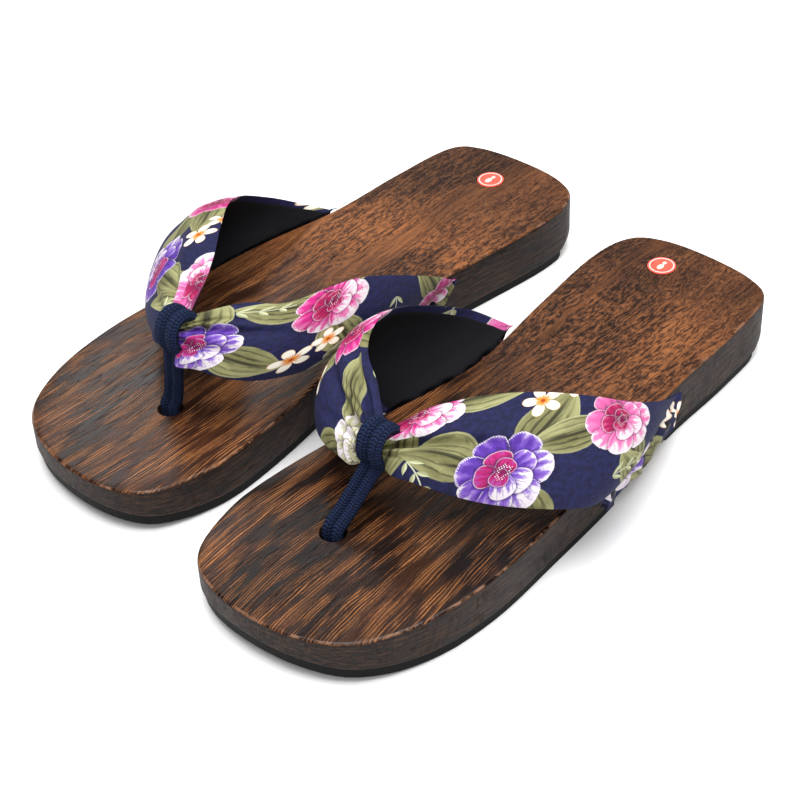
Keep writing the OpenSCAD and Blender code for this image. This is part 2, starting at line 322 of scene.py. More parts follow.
# ---------------------------------------------------------------- wood
def wood_material(name, seed, mid_x):
    m, n, sh = material(name)
    tc = n.node("ShaderNodeTexCoord")
    x, y, z = n.xyz(Val(n, tc.outputs["Object"]))
    x = x - mid_x
    geo = n.node("ShaderNodeNewGeometry")
    up = n.xyz(Val(n, geo.outputs["Normal"]))[2]
    slow = n.noise(n.vec(x * 10, y * 6 + seed, z * 6), 1.0, 2, 0.5) - 0.5
    heel = n.step(y + slow * 0.12 + x * 0.35, -0.03, 0.035)     # 0 over the toes, 1 at the heel
    wav = n.noise(n.vec(x * 110, y * 60 + seed * 3, z * 20), 1.0, 3, 0.6) - 0.5
    gx = x + slow * 0.030 + wav * (0.0008 + 0.0030 * heel)
    # a flat-sawn arch of plain, paler wood runs down the middle
    arch = n.noise(n.vec(gx * 34, y * 4.5 + seed * 5, z * 9), 1.0, 1, 0.4)
    plain = (1 - n.step((arch - 0.52).abs(), 0.015, 0.055))
    burnt = n.noise(n.vec(gx * 26 + 3, y * 12 + seed, z * 9), 1.0, 3, 0.6)
    # pale early wood left between the scorched lines: long lines over the toes
    f1 = n.noise(n.vec(gx * 600, y * 20 + seed, z * 60), 1.0, 1, 0.5)
    f2 = n.noise(n.vec(gx * 1150, y * 34 - seed, z * 120), 1.0, 2, 0.55)
    gate = n.noise(n.vec(gx * 200, y * 42 + seed, z * 60), 1.0, 2, 0.6)
    bend = n.noise(n.vec(gx * 110, y * 24 + seed, z * 30), 1.0, 2, 0.5)
    comb = ((gx * 1020 + bend * 4.4).fract() - 0.5).abs() * 2
    wide = (f1 - 0.40) * 1.4 + (f2 - 0.5) * 0.9
    l1 = 1 - n.step(comb - wide.max(0.0), 0.08, 0.26)
    l2 = 1 - n.step((f2 - 0.5).abs(), 0.012, 0.045)
    lines = (l1 * 0.95).max(l2 * 0.40) * n.step(gate + (f2 - 0.5) * 0.6, 0.40, 0.56)
    # and short wavy flecks towards the heel
    h1 = n.noise(n.vec(gx * 900, y * 300 + wav * 3, z * 200 + seed), 1.0, 3, 0.62)
    h2 = n.noise(n.vec(gx * 1900, y * 700, z * 400 + seed), 1.0, 2, 0.6)
    fleck = n.step(h1 + (h2 - 0.5) * 0.55 + (f2 - 0.5) * 0.5 + (burnt - 0.5) * 0.25, 0.34, 0.70)
    light = n.mix(lines, fleck * 0.80, heel)
    light = n.mix(light, 0.42 + (f2 - 0.5) * 1.1 + (f1 - 0.5) * 0.5, plain * (0.35 + 0.45 * heel))
    depth = n.step(burnt, 0.38, 0.64)
    dark = n.mixc(rgb("0e0604"), rgb("3a1f11"), (depth * 0.65 + heel * 0.30 + (f2 - 0.5) * 0.5).clamp())
    pale = n.mixc(rgb("6a3c1e"), rgb("a1683a"), n.step(h2 * 0.4 + gate * 0.6, 0.40, 0.60))
    pale = n.mixc(pale, rgb("5c3720"), heel * 0.62)
    # the wood is warmer and paler under the instep, just behind the strap
    warm = n.step(y, 0.005, 0.040) * (1 - n.step(y + slow * 0.10, 0.055, 0.105))
    pale = n.mixc(pale, rgb("a8683a"), warm * 0.75)
    col = n.mixc(dark, pale, light.clamp() * (0.58 + depth * 0.42))
    pore = n.step(n.noise(n.vec(gx * 1500, y * 90 + 7, z * 160), 1.0, 2, 0.5), 0.60, 0.70) * (1 - lines)
    col = n.mixc(col, rgb("0d0706"), pore * 0.7)
    # scorched sides and ends are nearly black, and the sharp edge is rubbed lighter and also carries a
    # painted highlight
    side = 1 - n.step(up.abs(), 0.25, 0.60)
    fine = n.noise(n.vec(x * 330, y * 75 + seed, z * 1500), 1.0, 5, 0.72)
    wall = n.ramp(fine, [(0.36, rgb("050302")), (0.50, rgb("1a0e09")), (0.66, rgb("482e1e"))])
    col = n.mixc(col, wall, side)
    rim = n.step(up, 0.35, 0.70) * (1 - n.step(up, 0.90, 0.995))
    wear_and_highlight = n.noise(n.vec(x * 160, y * 160, z * 90 + seed), 1.0, 4, 0.7)
    col = n.mixc(col, rgb("84604a"), rim * n.step(wear_and_highlight, 0.46, 0.62) * 0.8)
    n.put(sh.inputs["Base Color"], col)
    n.put(sh.inputs["Roughness"], 0.34 + pore * 0.25 + light * 0.12 + side * 0.25 + (burnt - 0.5) * 0.25
          - rim * 0.12)
    sh.inputs["Specular IOR Level"].default_value = 0.19
    sh.inputs["Coat Weight"].default_value = 0.07
    sh.inputs["Coat Roughness"].default_value = 0.22
    h = light * 0.55 - pore * 0.9 * (1 - side) + (h1 - 0.5) * 0.9 * heel + (fine - 0.5) * side * 1.6
    bump(n, sh, h, 0.00030, 1.0)
    return m


STATIONS, ACROSS = 120, 8       # rows from heel to toe, and faces across each row


def outline_loop():
    """The sole's edge with its points in pairs, one on each side at each station, closer together
    at the round ends, and the outward normal at each."""
    k = np.linspace(0, 1, STATIONS)
    heel_i, toe_i = int(np.argmin(OUT[:, 1])), int(np.argmax(OUT[:, 1]))
    lo, hi = OUT[heel_i], OUT[toe_i]
    n = len(OUT)
    a = np.array([OUT[(heel_i + j) % n] for j in range((toe_i - heel_i) % n + 1)])
    b = np.array([OUT[(heel_i - j) % n] for j in range((heel_i - toe_i) % n + 1)])
    st = SOLE_L * (0.5 - 0.5 * np.cos(math.pi * k))
    st = lo[1] + (hi[1] - lo[1]) * st / SOLE_L

    def at(c, s):
        o = np.maximum.accumulate(c[:, 1] + np.arange(len(c)) * 1e-6)
        return np.column_stack([np.interp(s, o, c[:, 0]), s])

    loop = np.vstack([at(a, st), at(b, st)[-2:0:-1]])
    d = np.roll(loop, -1, 0) - np.roll(loop, 1, 0)
    nrm = np.column_stack([d[:, 1], -d[:, 0]])
    nrm /= np.linalg.norm(nrm, axis=1)[:, None]
    if ((loop + nrm) ** 2).sum() < ((loop - nrm) ** 2).sum():
        nrm = -nrm
    # smooth the normals a little so the rounded edge has no kinks
    for _ in range(3):
        nrm = nrm + 0.5 * (np.roll(nrm, 1, 0) + np.roll(nrm, -1, 0))
        nrm /= np.linalg.norm(nrm, axis=1)[:, None]
    return loop, nrm


def edge_rings(loop, nrm):
    """The side of the wood as rings, from the lower rounded edge to the upper one."""
    R, r = EDGE_TOP, EDGE_UNDER
    rings = []

    def ring(inset, z):
        rings.append(np.column_stack([loop - nrm * inset, z]))

    low, high = under_z(loop[:, 1]) + r, top_z(loop[:, 1]) - R
    for q in np.radians(np.linspace(90, 0, 5)):
        s = (loop - nrm * (r * (1 - math.cos(q))))[:, 1]
        ring(r * (1 - math.cos(q)), under_z(s) + r - r * math.sin(q))
    for f in (0.2, 0.4, 0.6, 0.8):
        ring(0, low + (high - low) * f)
    for q in np.radians(np.linspace(0, 90, 8)):
        s = (loop - nrm * (R * (1 - math.cos(q))))[:, 1]
        ring(R * (1 - math.cos(q)), top_z(s) - R + R * math.sin(q))
    return rings


def fill_across(V, base, m, height):
    """Closes a ring of m points from V[base] on with rows across, so the face can step."""
    grid = [[base] * (ACROSS + 1)]
    for j in range(1, STATIONS - 1):
        ia, ib = base + j, base + m - j
        row = [ia]
        for q in range(1, ACROSS):
            p = V[ia] + (V[ib] - V[ia]) * q / ACROSS
            p[2] = height(p[1])
            row.append(len(V))
            V.append(p)
        grid.append(row + [ib])
    grid.append([base + STATIONS - 1] * (ACROSS + 1))
    faces = []
    for j in range(STATIONS - 1):
        for q in range(ACROSS):
            # a row that ends in one point gives a triangle
            f = (grid[j][q], grid[j][q + 1], grid[j + 1][q + 1], grid[j + 1][q])
            f = tuple(dict.fromkeys(f))
            if len(f) > 2:
                faces.append(f)
    return faces


def build_sole(side):
    sd = SIDES[side]
    loop, nrm = outline_loop()
    rings = edge_rings(loop, nrm)
    m = len(loop)
    V = list(np.vstack(rings))
    faces = tube_faces(len(rings), m, cap=False)
    faces += fill_across(V, 0, m, under_z)
    faces += fill_across(V, (len(rings) - 1) * m, m, top_z)
    ob = new_mesh(side + "_sole_wood", sd.world(np.array(V)), faces)
    face_out(ob)
    # the cord's hole, its mouth eased, and the pocket for the knot; these are in metres
    mouth = top_z(POST_S) / 1000
    hole = lathe("hole", [(0.0046, -0.02), (0.0046, mouth - 0.0006), (0.0049, mouth - 0.0001),
                          (0.0056, mouth + 0.0006), (0.0056, 0.05)], 40)
    hole.location = sd.world([-POST_IN, POST_S, 0])
    pocket = lathe("pocket", [(0.0095, -0.02), (0.0095, 0.009)], 48)
    pocket.location = hole.location
    bpy.context.view_layer.update()
    cut(ob, hole)
    cut(ob, pocket)
    me = ob.data
    me.polygons.foreach_set("use_smooth", [True] * len(me.polygons))
    me.set_sharp_from_angle(angle=math.radians(40))
    me.materials.clear()
    me.materials.append(wood_material(side + "_wood", 3.1 if side == "left" else 11.7,
                                      float(sd.world([0, 120, 0])[0])))
    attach(ob, sd.body)
    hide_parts(side + "_wood_sole")


# ---------------------------------------------------------------- printed cloth
LEAF_L, LEAF_D, LEAF_V = rgb("a09f70"), rgb("626039"), rgb("29271a")
WHITE = rgb("dfd6dc")
MAGENTA, CRIMSON, PINK = rgb("bf2379"), rgb("a5104f"), rgb("dd7fb2")
VIOLET, LILAC = rgb("55309a"), rgb("8d68c4")


def group(name, ins, outs):
    g = bpy.data.node_groups.new(name, "ShaderNodeTree")
    for i, kind in ins:
        g.interface.new_socket(i, in_out="INPUT", socket_type="NodeSocket" + kind)
    for o, kind in outs:
        g.interface.new_socket(o, in_out="OUTPUT", socket_type="NodeSocket" + kind)
    n = Net(g)
    gi, go = n.node("NodeGroupInput"), n.node("NodeGroupOutput")
    return g, n, [Val(n, s) for s in gi.outputs[:len(ins)]], go


PLACE = [("U", "Float"), ("V", "Float"), ("u0", "Float"), ("v0", "Float"), ("turn", "Float"),
         ("size", "Float")]


def local(U, V, u0, v0, turn, size):
    """The cloth's coordinates in a motif's own frame, where it is one unit long."""
    dx, dy = U - u0, V - v0
    c, s = turn.cos(), turn.sin()
    return (dx * c + dy * s) / size, (dy * c - dx * s) / size


def polar(n, x, y):
    r = (x * x + y * y) ** 0.5
    return r, n.m("ARCTAN2", y, x)


def after(n, x, done):
    """The same number as x, but worked out only once `done` is known. A long shader keeps
    every value it has started on, so its motifs are painted strictly one by one."""
    return n.m("MULTIPLY_ADD", done, 1e-6, x)


def leaf_group():
    g, n, (U, V, u0, v0, turn, size, wide, bend), go = group(
        "leaf", PLACE + [("wide", "Float"), ("bend", "Float")], [("Color", "Color"), ("Mask", "Float")])
    x, y = local(U, V, u0, v0, turn, size)
    xc = x.clamp()
    y = y - xc * (1 - xc) * bend
    w = ((xc ** 0.72) * math.pi).sin().max(0.0001) ** 0.8 * wide
    rag = n.noise(n.vec(x * 9, y * 9, u0), 1.0, 2, 0.6) - 0.5
    d = w - y.abs() + rag * 0.02
    mask = n.step(d, 0.0, 0.02) * n.step(x, 0.0, 0.02) * (1 - n.step(x, 0.97, 1.0))
    half = n.step(y, -0.012, 0.012)
    across = (y.abs() / (w + 0.015)).clamp()
    # brush strokes that follow the leaf from its stem to its tip
    brush = n.noise(n.vec(x * 3.5, across * 4 + half * 7, u0 + v0), 1.0, 3, 0.6)
    pleat = ((across * 3.1 + brush * 1.1 + half * 0.4).fract() - 0.5).abs() * 2
    stroke = n.step(pleat, 0.50, 0.95) * (1 - n.step(xc + brush * 0.5, 0.75, 1.25))
    shade = ((1 - across) * 0.55 + half * 0.28 + (brush - 0.5) * 1.5 + (0.55 - xc) * 0.5).clamp()
    col = n.mixc(LEAF_L, LEAF_D, shade)
    col = n.mixc(col, LEAF_V, stroke * (0.35 + shade * 0.6))
    core = (1 - n.step(y.abs(), 0.010, 0.045)) * (1 - n.step(xc, 0.55, 0.95))
    col = n.mixc(col, LEAF_V, core * 0.85)
    rim = 1 - n.step(d, 0.012, 0.035)
    col = n.mixc(col, rgb("c2c394"), rim * 0.5 * (1 - half * 0.7))
    n.put(go.inputs[0], col)
    n.put(go.inputs[1], mask)
    return g


# petals of one open flower, back ones first: turn in degrees, foot across and up, length,
# half width, how white, and which of its three colours
PETALS = [(95, 0.02, 0.10, 0.86, 0.44, 0.02, 0), (150, -0.05, 0.05, 0.90, 0.42, -0.05, 0),
          (38, 0.05, 0.02, 0.92, 0.44, 0.25, 0), (205, -0.05, 0.0, 0.88, 0.42, 0.02, 0),
          (-18, 0.0, -0.03, 0.98, 0.42, 0.36, 1), (252, -0.03, -0.05, 0.86, 0.40, 0.22, 0),
          (-68, 0.03, -0.05, 0.90, 0.42, 0.34, 1), (62, 0.0, -0.02, 0.66, 0.34, 0.12, 1),
          (8, -0.05, -0.05, 0.68, 0.32, 0.42, 1), (140, 0.02, -0.06, 0.60, 0.34, -0.12, 2),
          (-45, -0.08, 0.02, 0.62, 0.30, 0.40, 1), (212, 0.02, -0.02, 0.56, 0.30, -0.02, 2),
          (85, -0.08, -0.14, 0.46, 0.26, -0.15, 2), (-80, -0.04, 0.10, 0.40, 0.24, 0.05, 2)]


def bloom_group():
    g, n, (U, V, u0, v0, turn, size, seed, outer, core, glow), go = group(
        "bloom", PLACE + [("seed", "Float"), ("outer", "Color"), ("core", "Color"), ("glow", "Color")],
        [("Color", "Color"), ("Mask", "Float"), ("Glitter", "Float")])
    x, y = local(U, V, u0, v0, turn, size)
    rag = n.noise(n.vec(x * 2.6, y * 2.6, seed), 1.0, 3, 0.6) - 0.5
    fine = n.noise(n.vec(x * 7, y * 7, seed + 5), 1.0, 2, 0.6) - 0.5
    deep = n.mixc(core, (0.02, 0.002, 0.03), 0.62)
    shadow = n.mixc(outer, (0.01, 0.004, 0.03), 0.75)
    col, mask, edge = shadow, None, None
    x0, y0, prev = x, y, None
    for i, (turn_, bx, by, ln, wd, white, hue) in enumerate(PETALS):
        if prev is not None:
            x, y = after(n, x0, prev), after(n, y0, prev)
        c, q = math.cos(math.radians(turn_)) / ln, math.sin(math.radians(turn_)) / ln
        lx = n.m("MULTIPLY_ADD", x, c, n.m("MULTIPLY_ADD", y, q, -(bx * c + by * q)))
        k = ln / wd
        ly = n.m("MULTIPLY_ADD", y, c * k, n.m("MULTIPLY_ADD", x, -q * k, (bx * q - by * c) * k))
        v = ly / n.m("MULTIPLY_ADD", lx, 0.62, 0.48)
        e1 = n.m("MULTIPLY_ADD", lx, 2.05, -1.06)
        e = 1 - e1 * e1 - v * v + rag * (0.55 if ln > 0.7 else 0.35)
        m_ = n.step(e, 0.0, 0.07)
        # painted from a dark foot to a pale lip, in streaks that fan out
        st = n.m("SINE", n.m("MULTIPLY_ADD", v, 8.5 + (i % 3) * 1.7, n.m("MULTIPLY_ADD", rag, 7, i * 1.9)))
        tone = lx * 1.12 + st * 0.15 + fine * 0.42 + (white * 1.25 - 0.32)
        body = n.mixc(deep if hue == 2 else shadow, (outer, outer, core)[hue], n.step(tone, -0.02, 0.40))
        body = n.mixc(body, glow, n.step(tone, 0.42, 0.78) * (0.75, 1.0, 0.35)[hue])
        body = n.mixc(body, WHITE, n.step(tone, 0.76 if hue < 2 else 1.0, 1.02 if hue < 2 else 1.3))
        st2 = n.m("SINE", n.m("MULTIPLY_ADD", v, 17.0 + i % 4, n.m("MULTIPLY_ADD", fine, 9, i * 2.7)))
        body = n.mixc(body, (outer, outer, deep)[hue], n.step(st2 - lx * 0.6, 0.30, 0.60) * 0.7)
        lip = (1 - n.step(e, 0.05, 0.22)) * n.step(fine + lx * 0.25, -0.06, 0.20)
        body = n.mixc(body, WHITE, lip * 0.6)
        # the petal shades what lies behind it
        col = n.mixc(col, shadow, n.step(e, -0.38, 0.02) * 0.60)
        col = n.mixc(col, body, m_)
        mask = m_ if mask is None else mask.max(m_)
        prev = mask
        if ln > 0.8:
            edge = e if edge is None else edge.max(e)
    dots = n.step((U * 6.3 + rag * 2).sin() * (V * 6.3 + rag * 2).sin(), 0.30, 0.55)
    glit = (1 - n.step((edge - 0.10).abs(), 0.09, 0.17)) * dots
    n.put(go.inputs[0], n.mixc(col, (0.95, 0.95, 0.97), glit))
    n.put(go.inputs[1], mask)
    n.put(go.inputs[2], glit)
    return g


def blossom_group():
    g, n, (U, V, u0, v0, turn, size), go = group("blossom", PLACE, [("Color", "Color"), ("Mask", "Float")])
    x, y = local(U, V, u0, v0, turn, size)
    r, th = polar(n, x, y)
    tri = ((th * (5 / TAU)).fract() - 0.5).abs() * 2
    R = 0.98 - (tri ** 2.2) * 0.70
    d = R - r
    streak = n.noise(n.vec(th.cos() * 7, th.sin() * 7, r), 1.0, 2, 0.5)
    col = n.mixc(rgb("e08a26"), rgb("fbf6ea"), n.step(r + (streak - 0.5) * 0.7, 0.20, 0.52))
    col = n.mixc(col, rgb("e8a95c"), (1 - n.step(d, 0.03, 0.13)) * 0.6)
    col = n.mixc(col, rgb("a83a1e"), 1 - n.step(r, 0.07, 0.15))
    n.put(go.inputs[0], col)
    n.put(go.inputs[1], n.step(d, 0.0, 0.05))
    return g


def sprig_group():
    g, n, (U, V, u0, v0, turn, size, pairs), go = group(
        "sprig", PLACE + [("pairs", "Float")], [("Color", "Color"), ("Mask", "Float")])
    x, y = local(U, V, u0, v0, turn, size)
    y = y - x * (1 - x) * 0.22
    k = x * pairs
    a = k.fract() - 0.05
    b = y.abs() * pairs - 0.05
    ca, sa = math.cos(0.66), math.sin(0.66)
    lx, ly = a * ca + b * sa, b * ca - a * sa
    lx = lx / n.m("MULTIPLY_ADD", x, -0.35, 1.05)
    w = (lx.clamp() ** 0.8 * math.pi).sin().max(0.0001) * 0.15
    ok = n.step(x, 0.01, 0.02) * (1 - n.step(x, 0.985, 1.0))
    leafm = n.step(w - ly.abs(), 0.0, 0.03) * n.step(lx, 0.0, 0.03) * ok
    stem = (1 - n.step(y.abs(), 0.008, 0.016)) * ok
    col = n.mixc(rgb("c6c9a2"), rgb("8f9368"), n.step(ly, -0.02, 0.02) * 0.7)
    n.put(go.inputs[0], n.mixc(col, rgb("c9cdb4"), stem * 0.7))
    n.put(go.inputs[1], leafm.max(stem))
    return g


GROUPS = {"leaf": leaf_group(), "bloom": bloom_group(), "blossom": blossom_group(),
          "sprig": sprig_group()}
BLOOMS = {"rose": (MAGENTA, CRIMSON, PINK), "iris": (VIOLET, rgb("b01f6c"), LILAC),
          "cream": (rgb("76754f"), rgb("a3a179"), rgb("c4c2a4")), "blush": (rgb("cf5a98"), CRIMSON, PINK)}

FLOWER_ORDER = ("iris", "rose", "cream", "rose", "iris", "blush")
FLOWERS, FLOWER_STEP = 4, 33
ROWS = (12, 37)


def floral(seed, first):
    """A generic all-over floral for one arm, laid out by rule: open flowers in two staggered
    rows, a fan of leaves behind each, and a sprig or small blossoms in the gaps. A motif is its
    kind, its place along the arm and across it in millimetres, its turn in degrees, its size,
    and then what that kind needs."""
    rng = random.Random(seed)
    leaves, small, flowers = [], [], []
    for i in range(FLOWERS):
        u = 13 + i * FLOWER_STEP + rng.uniform(-4, 4)
        v = ROWS[(i + first) % 2] + rng.uniform(-3, 3)
        size = rng.uniform(13, 16)
        flowers.append((FLOWER_ORDER[(i + first) % len(FLOWER_ORDER)], u, v, rng.uniform(-30, 30), size,
                        rng.uniform(0, 3)))
        lean = rng.uniform(20, 100)
        for j in range(3):
            turn = lean + 120 * j + rng.uniform(-22, 22)
            a = math.radians(turn)
            leaves.append(("leaf", u + 0.5 * size * math.cos(a), v + 0.5 * size * math.sin(a), turn,
                           rng.uniform(23, 29), rng.uniform(0.27, 0.34), rng.uniform(-0.28, 0.28)))
        gap_u, gap_v = u + rng.uniform(-5, 5), ROWS[(i + first + 1) % 2] + rng.uniform(-4, 4)
        if i % 2:
            small.append(("blossom", gap_u, gap_v, rng.uniform(0, 70), 7))
            small.append(("blossom", gap_u + 8, gap_v + 8, rng.uniform(0, 70), 6))
        else:
            small.append(("sprig", gap_u, gap_v, rng.uniform(-80, 80), 18, 3))
    return leaves + small + flowers


PRINT = {arm: floral(seed, first) for arm, seed, first in (
    ("left_outer", 31, 3), ("left_inner", 32, 2), ("right_inner", 33, 0), ("right_outer", 34, 5))}


def thread(U, V, pitch):
    """Plain weave: height of the cloth from its two sets of threads."""
    a = (U * (math.pi / pitch)).sin()
    b = (V * (math.pi / pitch)).sin()
    return (a * b).abs() * 0.6 + a.abs() * 0.2 + b.abs() * 0.2


def print_material(name, motifs):
    m, n, sh = material(name)
    uv = n.node("ShaderNodeUVMap", uv_map="UVMap")
    U, V, _ = n.xyz(Val(n, uv.outputs[0]))
    blot = n.noise(n.vec(U * 0.5, V * 0.5), 1.0, 3, 0.6)
    col = n.mixc(rgb("151636"), rgb("1d1f4c"), n.step(blot, 0.35, 0.65))
    glit = done = None
    for mo in motifs:
        kind = mo[0]
        g = n.node("ShaderNodeGroup")
        bloom = kind in BLOOMS
        g.node_tree = GROUPS["bloom" if bloom else kind]
        n.put(g.inputs["U"], U if done is None else after(n, U, done))
        n.put(g.inputs["V"], V if done is None else after(n, V, done))
        g.inputs["u0"].default_value = mo[1]
        g.inputs["v0"].default_value = mo[2]
        g.inputs["turn"].default_value = math.radians(mo[3])
        g.inputs["size"].default_value = mo[4]
        if kind == "leaf":
            g.inputs["wide"].default_value = mo[5]
            g.inputs["bend"].default_value = mo[6]
        if kind == "sprig":
            g.inputs["pairs"].default_value = mo[5]
        if bloom:
            g.inputs["seed"].default_value = mo[5]
            for key, c in zip(("outer", "core", "glow"), BLOOMS[kind]):
                g.inputs[key].default_value = (*c, 1)
        col = n.mixc(col, Val(n, g.outputs[0]), Val(n, g.outputs[1]))
        done = Val(n, g.outputs[1])
        if bloom:
            glit = Val(n, g.outputs[2]) if glit is None else glit.max(Val(n, g.outputs[2]))
    weave = thread(U, V, 0.34)
    fuzz = n.noise(n.vec(U * 3.2, V * 3.2), 1.0, 3, 0.6)
    # painted shade between the threads of the weave, and a random darkening from the fuzz
    col = n.mixc(col, (0.0, 0.0, 0.0), (1 - weave) * 0.22 + (fuzz - 0.5).abs() * 0.12)
    n.put(sh.inputs["Base Color"], col)
    rough = 0.78 + (fuzz - 0.5) * 0.1
    if glit is not None:
        rough = rough - glit * 0.5
        n.put(sh.inputs["Metallic"], glit * 0.7)
    n.put(sh.inputs["Roughness"], rough)
    sh.inputs["Specular IOR Level"].default_value = 0.25
    h = weave if glit is None else weave + glit * 2.0
    bump(n, sh, h + (fuzz - 0.5) * 0.8, 0.00006, 0.8)
    return m


def lining_material():
    m, n, sh = material("lining_cloth")
    uv = n.node("ShaderNodeUVMap", uv_map="UVMap")
    U, V, _ = n.xyz(Val(n, uv.outputs[0]))
    weave = thread(U, V, 0.42)
    big = n.noise(n.vec(U * 0.12, V * 0.12), 1.0, 3, 0.6)
    slub = n.noise(n.vec(U * 0.35, V * 4.0), 1.0, 2, 0.6)
    # the thread crowns are painted lighter than the gaps between them: painted light and shade, over a
    # random tone from big and slub
    col = n.mixc(rgb("050508"), rgb("0d0e15"), (big * 0.6 + slub * 0.4) * 0.6 + weave * 0.35)
    n.put(sh.inputs["Base Color"], col)
    n.put(sh.inputs["Roughness"], 0.85 + (slub - 0.5) * 0.1)
    sh.inputs["Specular IOR Level"].default_value = 0.2
    bump(n, sh, weave + (slub - 0.5) * 1.2, 0.00010, 0.9)
    return m


LINING = lining_material()


# ---------------------------------------------------------------- strap arms
def wall_at(s, sgn):
    """Distance of the sole's edge from its middle line, on one side, and the outward normal."""
    c = OUT[(OUT[:, 0] * sgn > 20)]
    o = np.argsort(c[:, 1])
    c = c[o]
    x = np.interp(s, c[:, 1], c[:, 0])
    dx = (np.interp(s + 2, c[:, 1], c[:, 0]) - np.interp(s - 2, c[:, 1], c[:, 0])) / 4
    nn = np.stack([np.full_like(x, float(sgn)), -sgn * dx, 0 * x], -1)
    return x, nn / np.linalg.norm(nn, axis=-1)[..., None]


def smooth(x):
    x = np.clip(x, 0, 1)
    return x * x * (3 - 2 * x)


# folds that run out of the gather at the toe post: where across the arm, depth in mm,
# width, and how far along the arm they last (share)
FOLDS = {
    "left_outer": [(-0.12, -5.2, 0.075, 0.36), (0.42, -2.0, 0.06, 0.18), (-0.60, -2.6, 0.07, 0.20),
                   (0.14, 1.8, 0.13, 0.24), (-0.38, 1.8, 0.13, 0.30), (0.70, -1.5, 0.05, 0.12)],
    "left_inner": [(-0.10, -4.8, 0.09, 0.34), (0.40, 2.0, 0.16, 0.26), (0.62, -3.0, 0.08, 0.30),
                   (-0.55, -2.4, 0.07, 0.20), (0.18, -1.8, 0.06, 0.22)],
    "right_inner": [(0.05, -3.6, 0.07, 0.22), (-0.38, -2.8, 0.07, 0.17), (0.50, -2.2, 0.07, 0.15),
                    (-0.15, 1.8, 0.12, 0.2), (0.30, 1.7, 0.12, 0.22), (-0.7, -1.8, 0.06, 0.14)],
    "right_outer": [(0.0, -3.8, 0.08, 0.28), (0.48, -2.4, 0.07, 0.2), (-0.45, -2.8, 0.08, 0.22),
                    (0.22, 1.5, 0.14, 0.24), (-0.2, 1.4, 0.12, 0.24)],
}
PUFF = {"left_outer": 1.8, "left_inner": 3.0, "right_inner": 4.6, "right_outer": 3.2}
TACKS = (0.2, 0.5, 0.8)


